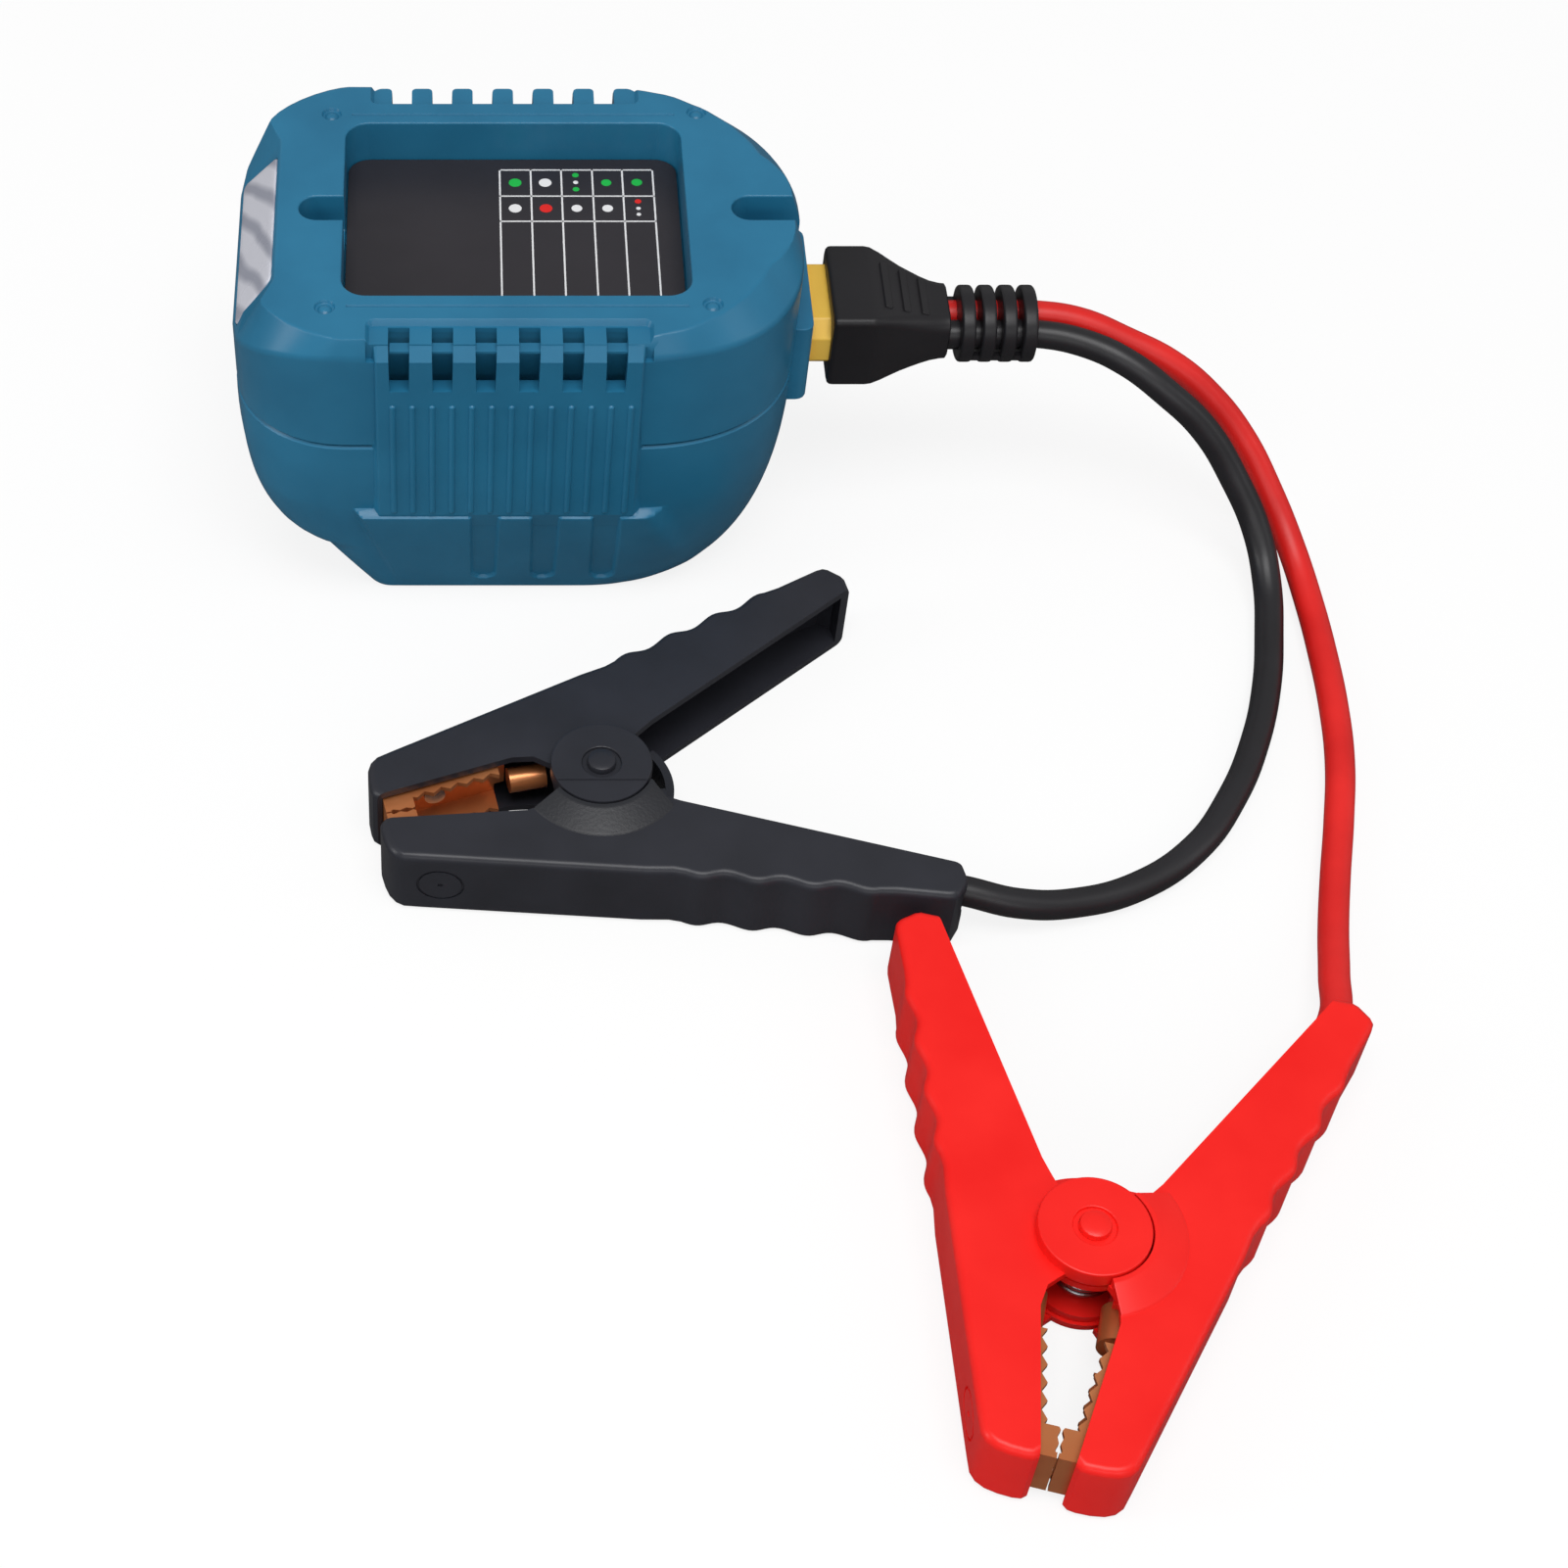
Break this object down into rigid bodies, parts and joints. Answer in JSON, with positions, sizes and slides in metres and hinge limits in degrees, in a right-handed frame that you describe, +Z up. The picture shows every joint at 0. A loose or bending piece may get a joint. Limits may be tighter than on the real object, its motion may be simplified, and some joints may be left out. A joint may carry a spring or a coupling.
{
  "type": "jump starter pack",
  "caption": "Battery adapter housing with a label recess, vents and a corner lamp, a two-pole plug, and red and black leads that end in sprung battery clamps.",
  "frame": {"origin": "on the plane the housing stands on, midway between the battery slide rails and under the middle of the housing", "axes": "+X to the output socket, +Y to the rear vents, +Z up out of the label face"},
  "size_m": [0.2156, 0.2747, 0.071],
  "materials": {
    "teal_shell": "satin moulded nylon",
    "label": "printed label on a plastic plate",
    "lamp_lens": "frosted clear plastic",
    "lamp_reflector": "white reflector",
    "lamp_board": "circuit board with diodes",
    "screws": "zinc plated",
    "circuit_board": "circuit board",
    "capacitors": "sleeved cans",
    "inductor": "copper winding on a ferrite ring",
    "heat_sink": "extruded",
    "transistors": "moulded packages",
    "terminal_block": "moulded",
    "terminal_blades": "plated contacts",
    "output_socket": "moulded nylon",
    "socket_pins": "plated",
    "busbars": "copper bars",
    "plug_shell": "moulded nylon",
    "plug_contacts": "plated",
    "plug_cover": "soft moulded cover",
    "strain_relief": "ribbed sleeve",
    "red_lead": "silicone sleeve",
    "black_lead": "silicone sleeve",
    "black_plastic": "glossy moulded",
    "red_plastic": "glossy moulded",
    "spring": "spring wire",
    "jaw": "copper plated steel",
    "rivet": "rivets",
    "lug": "crimped copper"
  },
  "bodies": {
    "housing": {"top_housing": "teal_shell", "bottom_housing": "teal_shell", "label_plate": "label", "lamp_lens": "lamp_lens", "lamp_reflector": "lamp_reflector", "lamp_board": "lamp_board", "housing_screws": "screws", "circuit_board": "circuit_board", "capacitors": "capacitors", "power_inductor": "inductor", "heat_sink": "heat_sink", "power_transistors": "transistors", "terminal_block": "terminal_block", "terminal_blades": "terminal_blades", "output_socket": "output_socket", "socket_pins": "socket_pins", "output_busbars": "busbars"},
    "lead_set": {"plug_shell": "plug_shell", "plug_contacts": "plug_contacts", "plug_cover": "plug_cover", "strain_relief": "strain_relief", "red_lead": "red_lead", "black_lead": "black_lead", "black_wire_arm": "black_plastic", "black_pivot_pin": "black_plastic", "black_spring": "spring", "black_wire_jaw": "jaw", "black_wire_rivet": "rivet", "black_wire_lug": "lug", "red_wire_arm": "red_plastic", "red_pivot_pin": "red_plastic", "red_spring": "spring", "red_wire_jaw": "jaw", "red_wire_rivet": "rivet", "red_wire_lug": "lug"},
    "black_clamp_arm": {"black_disc_arm": "black_plastic", "black_disc_jaw": "jaw", "black_disc_rivet": "rivet", "black_disc_lug": "lug"},
    "red_clamp_arm": {"red_disc_arm": "red_plastic", "red_disc_jaw": "jaw", "red_disc_rivet": "rivet", "red_disc_lug": "lug"}
  },
  "joints": [
    {"name": "plug_slide", "type": "slide", "parent": "housing", "child": "lead_set", "axis": [1, 0, 0], "range_m": [0, 0.012]},
    {"name": "black_clamp_hinge", "type": "hinge", "parent": "lead_set", "child": "black_clamp_arm", "pos_m": [0.0146, -0.0932, 0.0078], "axis": [0, 0, -1], "range_deg": [0, 45], "stiffness_Nm_per_rad": 1.2, "springref_deg": -57.3, "deforming": ["black_spring"]},
    {"name": "red_clamp_hinge", "type": "hinge", "parent": "lead_set", "child": "red_clamp_arm", "pos_m": [0.0915, -0.1918, 0.0078], "axis": [0, 0, -1], "range_deg": [0, 45], "stiffness_Nm_per_rad": 1.2, "springref_deg": -57.3, "deforming": ["red_spring"]}
  ]
}
